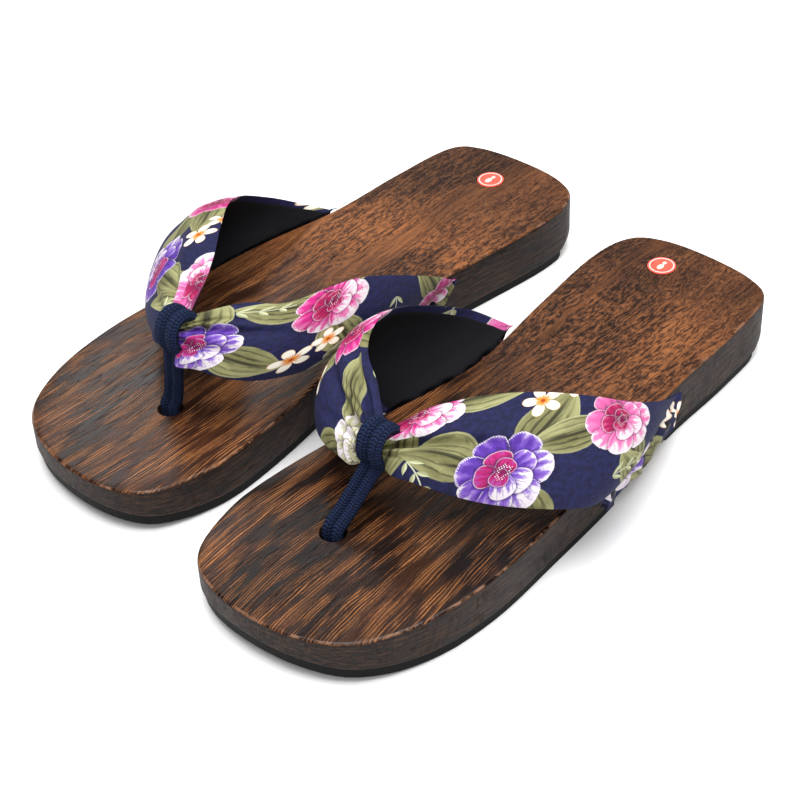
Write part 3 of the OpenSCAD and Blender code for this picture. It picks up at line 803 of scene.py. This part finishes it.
def arm_surface(side, arm, U, V):
    """Middle, outward normal and half thickness of an arm at shares U along and V across (-1..1).
    U from 0 to 1 is the arm, and 1 to 1.25 is its end, folded down the side of the sole."""
    key = side + "_" + arm
    sgn = 1 if arm == "outer" else -1
    lean = np.array([FOLLOW]).T * np.array([LEAN[side]])
    f = np.array(OUTER_FRONT if arm == "outer" else INNER_FRONT, float) + lean
    r = np.array(OUTER_REAR if arm == "outer" else INNER_REAR, float) + lean
    ua = np.clip(U, 0, 1)
    a, b = open_curve(f, ua), open_curve(r, ua)
    w = b - a
    e = 0.02
    t = (open_curve(f, ua + e) + open_curve(r, ua + e)) - (open_curve(f, ua - e) + open_curve(r, ua - e))
    wl = np.linalg.norm(w, axis=1)
    n = sgn * np.cross(w / wl[:, None], t / np.linalg.norm(t, axis=1)[:, None])
    n /= np.linalg.norm(n, axis=1)[:, None]
    bow = 0.105 * (1 - np.abs(V) ** 2.2) * np.minimum(1, 3 * ua) * np.minimum(1, 2.5 * (1 - ua))
    mid = a + w * ((V + 1) / 2)[:, None] + n * (wl * bow)[:, None]
    # cloth gathers into the toe post
    fold = np.zeros_like(ua)
    for v0, depth, width, last in FOLDS[key]:
        vv = v0 + 0.10 * np.sin(7 * ua + v0 * 9)
        fold += depth * np.exp(-((V - vv) / (width * (1 + 1.6 * ua))) ** 2) * np.exp(-(ua / last) ** 2)
    # and puffs out again as soon as it leaves the cord
    puffy = PUFF[key] * np.exp(-((ua - 0.085) / 0.055) ** 2)
    mid = mid + (w / wl[:, None]) * (V * puffy)[:, None] + n * (0.25 * puffy * (1 - V * V))[:, None]
    # soft dimples so the padding doesn't look moulded
    fold += 0.35 * np.sin(9.1 * ua + 3.3 * V + (1.3 if side == "left" else 4.1)) \
        * np.sin(5.3 * V - 6.0 * ua + 0.7) * smooth(ua * 4) * (1 - V ** 4)
    half = (2.45 + 1.1 * np.exp(-(ua / 0.10) ** 2)) * (1 - 0.45 * smooth((ua - 0.78) / 0.22) * V ** 4)
    mid[:, 2] -= 2.4 * smooth((ua - 0.80) / 0.20) * np.abs(V) ** 5
    # pull down the side of the sole
    down = np.clip((U - 1) / 0.25, 0, 1)
    s = b[:, 1] * (V + 1) / 2 + a[:, 1] * (1 - V) / 2
    q = (1 - V) / 2                      # 0 at the rear corner, 1 at the front corner
    pin = sum(np.exp(-((q - (1 - k)) / 0.07) ** 2) for k in TACKS)
    ph = 0.0 if side == "left" else 2.1
    s = s + down * 8.0 * np.sign(V) * V ** 4 + 1.1 * smooth(down * 3) * np.sin(q * 31 + ph)
    x, wn = wall_at(s, sgn)
    low = 12.5 - 1.5 * np.cos(q * 17 + sgn) - 4.5 * np.abs(V) ** 8
    z = top_z(s) + 1.0 - 2.4 * np.abs(V) ** 5 - down * low
    lump = np.sin(math.pi * np.clip(down * 1.02, 0, 1)) ** 0.6
    puff = 2.0 + 2.3 * (1 - np.minimum(pin, 1)) * lump * (0.75 + 0.25 * np.sin(q * 9 + ph))
    ruck = 0.75 * np.sin(q * 44 + 2.5 * down + ph) + 0.45 * np.sin(q * 79 - 3 * down + 1.7 * sgn)
    puff = puff + ruck * smooth(down * 4) * (1 - 0.5 * down) * (1 - V ** 8)
    wall = np.stack([x + wn[:, 0] * puff, s + wn[:, 1] * puff, z], -1)
    k = smooth((U - 0.955) / 0.07)
    mid = mid * (1 - k)[:, None] + wall * k[:, None]
    n = n * (1 - k)[:, None] + wn * k[:, None]
    n /= np.linalg.norm(n, axis=1)[:, None]
    half = half * (1 - k) + (1.9 - 0.6 * V ** 6) * k
    # small tight pleats where the end is drawn in over the edge
    near = np.exp(-((U - 1.02) / 0.075) ** 2)
    tight = 1.15 * np.sin(q * 44 + ph) + 0.7 * np.sin(q * 79 + 1.7 * sgn + 4)
    fold += near * tight * (1 - V ** 8)
    return mid, n, half, fold


def arm_rows():
    return np.concatenate([np.linspace(0, 0.9, 110), np.linspace(0.9, 1.25, 64)[1:]])


def run_along(side, arm, rows):
    """Millimetres along the middle of an arm at each row."""
    mid = arm_surface(side, arm, rows, np.zeros(len(rows)))[0]
    return np.concatenate([[0], np.cumsum(np.linalg.norm(np.diff(mid, axis=0), axis=1))])


def build_cover(side, arm):
    """The padded printed band of one arm, with its end tucked down the side of the sole."""
    key = side + "_" + arm
    sd = SIDES[side]
    rows, ring = arm_rows(), 116
    n_rows = len(rows)
    ph = np.arange(ring) / ring * TAU
    v, sv = np.cos(ph), np.sin(ph)
    h = np.sign(sv) * (1 - np.abs(v) ** 3.0).clip(0) ** 0.72
    HH = np.tile(h, n_rows)
    mid, n, half, fold = arm_surface(side, arm, np.repeat(rows, ring), np.tile(v, n_rows))
    top = np.clip(HH, 0, 1)
    P = mid + n * (HH * half * (0.86 + 0.14 * top) + fold * (top * 0.9 + 0.1))[:, None]
    # cloth coordinates in millimetres: along the arm, and across it from the front edge
    front = arm_surface(side, arm, rows, -np.ones(n_rows))[0]
    rear = arm_surface(side, arm, rows, np.ones(n_rows))[0]
    wid = 0.45 * 42 + 0.55 * np.linalg.norm(rear - front, axis=1)
    fi = np.tile((v + 1) / 2, n_rows)
    Vmm = (fi - 0.5) * np.repeat(wid, ring) + 22
    # on the rolled inner side the print runs on past the edge
    inside = np.tile(sv < -0.02, n_rows)
    Vmm = np.where(inside, np.where(fi > 0.5, 44 + (1 - fi) * 30, -fi * 30), Vmm)
    uv = np.column_stack([np.repeat(run_along(side, arm, rows), ring), Vmm])
    ob = new_mesh(key + "_printed", sd.world(P), tube_faces(n_rows, ring), uv=uv)
    face_out(ob)
    ob.data.materials.append(print_material(key + "_print", PRINT[key]))
    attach(ob, sd.body)
    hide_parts(key + "_cover", key + "_padding", key + "_tab")


def sheet_faces(n_u, n_v):
    """Faces of a thin sheet whose two sides are grids of n_u by n_v points, closed round its rim."""
    N = n_u * n_v
    faces = []
    for i in range(n_u - 1):
        for j in range(n_v - 1):
            a = i * n_v + j
            faces += [(a, a + 1, a + n_v + 1, a + n_v),
                      (N + a, N + a + n_v, N + a + n_v + 1, N + a + 1)]
    rim = list(range(n_v)) + [i * n_v + n_v - 1 for i in range(1, n_u)] \
        + [(n_u - 1) * n_v + j for j in range(n_v - 2, -1, -1)] \
        + [i * n_v for i in range(n_u - 2, 0, -1)]
    for i, a in enumerate(rim):
        b = rim[(i + 1) % len(rim)]
        faces.append((a, b, N + b, N + a))
    return faces


def build_lining(side, arm):
    """The lining on an arm's inner face, its edges turned in under the roll of the print."""
    key = side + "_" + arm
    sd = SIDES[side]
    front_v, rear_v = -0.95, 0.86       # where its edges lie across the arm
    ru = np.linspace(0.03, 1.07, 110)
    rv = np.linspace(front_v, rear_v, 42)
    UU, VV = np.repeat(ru, len(rv)), np.tile(rv, len(ru))
    mid, n, half, fold = arm_surface(side, arm, UU, VV)
    edge = np.where(VV > 0, VV / rear_v, VV / front_v)
    drop = half * 0.86 * (1 - np.abs(VV) ** 3) ** 0.72 + 0.40 - 0.9 * smooth((edge - 0.93) / 0.07)
    outer = mid - n * drop[:, None] + n * (fold * 0.1)[:, None]
    inner = outer + n * 0.5
    rows = arm_rows()
    uv = np.column_stack([np.interp(UU, rows, run_along(side, arm, rows)), VV * 22 + 22])
    ob = new_mesh(key + "_lining_cloth", sd.world(np.vstack([outer, inner])),
                  sheet_faces(len(ru), len(rv)), LINING, uv=np.vstack([uv, uv]), sharp=60)
    face_out(ob)
    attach(ob, sd.body)
    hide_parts(key + "_lining")


# ---------------------------------------------------------------- toe post
KNIT = 650      # stitches in a metre


def cord_material(name, solid):
    """Knitted cord, its stitches laid by the cloth's own coordinates or, on a CAD solid,
    which has none, by its place in space."""
    m, n, sh = material(name)
    if solid:
        tc = n.node("ShaderNodeTexCoord")
        x, y, z = n.xyz(Val(n, tc.outputs["Object"]))
        a, b = (x + z * 0.6) * KNIT, (y - z * 0.8) * KNIT
    else:
        uv = n.node("ShaderNodeUVMap", uv_map="UVMap")
        a, b, _ = n.xyz(Val(n, uv.outputs[0]))     # a around in stitches, b along in stitches
    cell = a.fract() - 0.5
    lean = cell.abs() * 1.1
    k = (b + lean).fract()
    st = (k - 0.5).abs() * 2
    loop = (1 - n.step(st, 0.25, 0.95)) * (1 - n.step(cell.abs(), 0.36, 0.5))
    groove = 1 - n.step(cell.abs(), 0.0, 0.07)
    hgt = loop - groove * 0.5
    fuzz = n.noise(n.vec(a * 3, b * 3), 1.0, 4, 0.7)
    # the raised stitch loops are painted lighter and the grooves between them darker: painted light and
    # shade, with random fuzz
    col = n.mixc(rgb("060a18"), rgb("1c2c50"), (hgt * 0.75 + (fuzz - 0.4) * 0.7).clamp())
    n.put(sh.inputs["Base Color"], col)
    n.put(sh.inputs["Roughness"], 0.82 + (fuzz - 0.5) * 0.12)
    sh.inputs["Specular IOR Level"].default_value = 0.15
    bump(n, sh, hgt + fuzz * 0.35, 0.00035, 1.0)
    return m


CORD, KNOT = cord_material("knitted_cord", False), cord_material("knitted_knot", True)


def post_path(side):
    """Middle line of the doubled toe cord: up through the sole and once round the gathered strap."""
    lean = np.array(LEAN[side], float)
    c = (np.array(OUTER_FRONT[0], float) + np.array(OUTER_REAR[0], float)) / 2 + lean
    b = np.array([-POST_IN, POST_S, 0.0])
    r = 5.0 + STRAND
    ln = c - np.array([b[0], b[1], c[2]])
    z = top_z(POST_S)
    pts = [b + (0, 0, 5.5), b + (0, 0, 12), b + (0, 0, z + 1), b + ln * 0.3 + (0, 0, z + 7)]
    for a in np.radians(range(-52, 233, 16)):
        pts.append(c + np.array([0, (r - 1.6) * math.cos(a), 0.3 + r * math.sin(a)]))
    return np.array(pts)


def build_post(side):
    sd = SIDES[side]
    p = open_curve(post_path(side), np.linspace(0, 1, 230))
    step = np.linalg.norm(np.diff(p, axis=0), axis=1)
    run = np.concatenate([[0], np.cumsum(step)])
    d = np.gradient(p, axis=0)
    d /= np.linalg.norm(d, axis=1)[:, None]
    V, F, UV = [], [], []
    ring = 28
    for k in (-1, 1):
        base = len(V)
        for i in range(len(p)):
            side_v = np.cross(d[i], np.cross([1, 0, 0], d[i]))
            side_v /= np.linalg.norm(side_v)
            o = np.cross(d[i], side_v)
            end = min(1.0, 0.35 + run[i] / 2, 0.35 + (run[-1] - run[i]) / 2)
            wide = 1 + 0.30 * float(smooth((run[i] / run[-1] - 0.50) / 0.12))
            for j in range(ring):
                an = TAU * j / ring
                # each strand is an oval, flattened where it lies against the other
                rib = 1 + 0.045 * math.cos(6 * an) + 0.03 * math.sin(run[i] * 2.4 + k + 2 * an)
                ca, sa = math.cos(an), math.sin(an)
                q = p[i] + side_v * (k * STRAND * 0.97 + ca * STRAND * 1.02 * rib * end) * wide \
                    + o * (sa * STRAND * 1.0 * rib * end)
                V.append(q)
                UV.append((6 * j / ring, run[i] * 0.95))
        F += [tuple(base + v for v in f) for f in tube_faces(len(p), ring)]
    ob = new_mesh(side + "_cord", sd.world(np.array(V)), F, CORD, uv=UV)
    face_out(ob)
    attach(ob, sd.body)
    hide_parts(side + "_toe_post")


# ---------------------------------------------------------------- small parts
def rubber_material():
    m, n, sh = material("outsole_rubber")
    tc = n.node("ShaderNodeTexCoord")
    x, y, z = n.xyz(Val(n, tc.outputs["Object"]))
    peb = n.noise(n.vec(x * 900, y * 900, z * 900), 1.0, 3, 0.6)
    dust = n.noise(n.vec(x * 60, y * 60, z * 60), 1.0, 3, 0.6)
    n.put(sh.inputs["Base Color"], n.mixc(rgb("040405"), rgb("131211"), n.step(dust, 0.35, 0.75) * 0.6))
    n.put(sh.inputs["Roughness"], 0.62 + (peb - 0.5) * 0.2)
    sh.inputs["Specular IOR Level"].default_value = 0.14
    bump(n, sh, peb, 0.00008, 0.7)
    return m


def steel_material():
    m, n, sh = material("tack_steel")
    tc = n.node("ShaderNodeTexCoord")
    x, y, z = n.xyz(Val(n, tc.outputs["Object"]))
    v = n.noise(n.vec(x * 700, y * 700, z * 700), 1.0, 3, 0.6)
    n.put(sh.inputs["Base Color"], n.mixc(rgb("141416"), rgb("2b2b2e"), v))
    sh.inputs["Metallic"].default_value = 0.9
    n.put(sh.inputs["Roughness"], 0.38 + v * 0.2)
    return m


def film_material(name, a, b, rough):
    m, n, sh = material(name)
    tc = n.node("ShaderNodeTexCoord")
    x, y, z = n.xyz(Val(n, tc.outputs["Object"]))
    v = n.noise(n.vec(x * 500, y * 500, z * 500), 1.0, 3, 0.6)
    n.put(sh.inputs["Base Color"], n.mixc(a, b, v))
    n.put(sh.inputs["Roughness"], rough + v * 0.08)
    sh.inputs["Coat Weight"].default_value = 0.3
    bump(n, sh, v, 0.00003, 0.5)
    return m


def dress(node, mat):
    """Gives a CAD node its material."""
    for s in bpy.data.objects[node].material_slots:
        s.link = "OBJECT"
        s.material = mat


RUBBER, STEEL = rubber_material(), steel_material()
RED = film_material("sticker_film", rgb("ea4a3a"), rgb("f4604e"), 0.28)
INK = film_material("sticker_ink", rgb("f6b3ab"), rgb("fbd3cc"), 0.35)
for name in SIDES:
    build_sole(name)
    for arm in ("outer", "inner"):
        build_cover(name, arm)
        build_lining(name, arm)
    build_post(name)
    for nd in ("front_outsole", "heel_outsole"):
        dress(name + "_" + nd, RUBBER)
    for nd in ("inner_tacks", "outer_tacks"):
        dress(name + "_" + nd, STEEL)
    dress(name + "_toe_knot", KNOT)
    dress(name + "_size_sticker", RED)
    dress(name + "_sticker_print", INK)

# ---------------------------------------------------------------- floor, light, camera
fl = bpy.data.meshes.new("floor")
fl.from_pydata([(-4, -4, 0), (4, -4, 0), (4, 4, 0), (-4, 4, 0)], [], [(0, 1, 2, 3)])
floor = bpy.data.objects.new("floor", fl)
bpy.context.scene.collection.objects.link(floor)
fm, _, fs = material("floor_paint")
fs.inputs["Base Color"].default_value = (0.9, 0.9, 0.9, 1)
fs.inputs["Roughness"].default_value = 0.9
fl.materials.append(fm)

world = bpy.data.worlds.new("studio")
bpy.context.scene.world = world
world.use_nodes = True
bg = world.node_tree.nodes["Background"]
bg.inputs[0].default_value = (1, 1, 1, 1)
bg.inputs[1].default_value = 0.34
bpy.context.scene.view_settings.view_transform = "Standard"


def area(name, loc, target, size, power, color=(1, 1, 1)):
    li = bpy.data.lights.new(name, "AREA")
    li.energy, li.size, li.color = power, size, color
    ob = bpy.data.objects.new(name, li)
    bpy.context.scene.collection.objects.link(ob)
    ob.location = loc
    ob.rotation_euler = (Vector(target) - Vector(loc)).to_track_quat("-Z", "Y").to_euler()


area("top", (0.15, -0.1, 1.9), (0, 0, 0.02), 1.7, 62)
area("window", (-1.03, 0.58, 0.94), (-0.05, -0.07, 0.02), 0.30, 2.6)
area("fill", (1.2, -0.9, 1.3), (0, 0, 0.02), 0.9, 12)

HEADING, DOWN, ROLL = (math.radians(a) for a in (44.62, 38.4, -2.88))
FROM_HEEL = (0.3235, -0.50295, 0.4243)      # the camera from the left heel, in metres
cam_d = bpy.data.cameras.new("camera")
cam = bpy.data.objects.new("camera", cam_d)
bpy.context.scene.collection.objects.link(cam)
cam_d.lens = 81.45
cam_d.sensor_width = 36
cam_d.clip_start = 0.01
ahead = Vector((-math.sin(HEADING) * math.cos(DOWN), math.cos(HEADING) * math.cos(DOWN),
                -math.sin(DOWN)))
level = Vector((math.cos(HEADING), math.sin(HEADING), 0))
upright = level.cross(ahead)
right = level * math.cos(ROLL) + upright * math.sin(ROLL)
up = -level * math.sin(ROLL) + upright * math.cos(ROLL)
loc = Vector(SIDES["left"].world([0, 0, 0])) + Vector(FROM_HEEL)
cam.matrix_world = Matrix.Translation(loc) @ Matrix((right, up, -ahead)).transposed().to_4x4()
bpy.context.scene.camera = cam
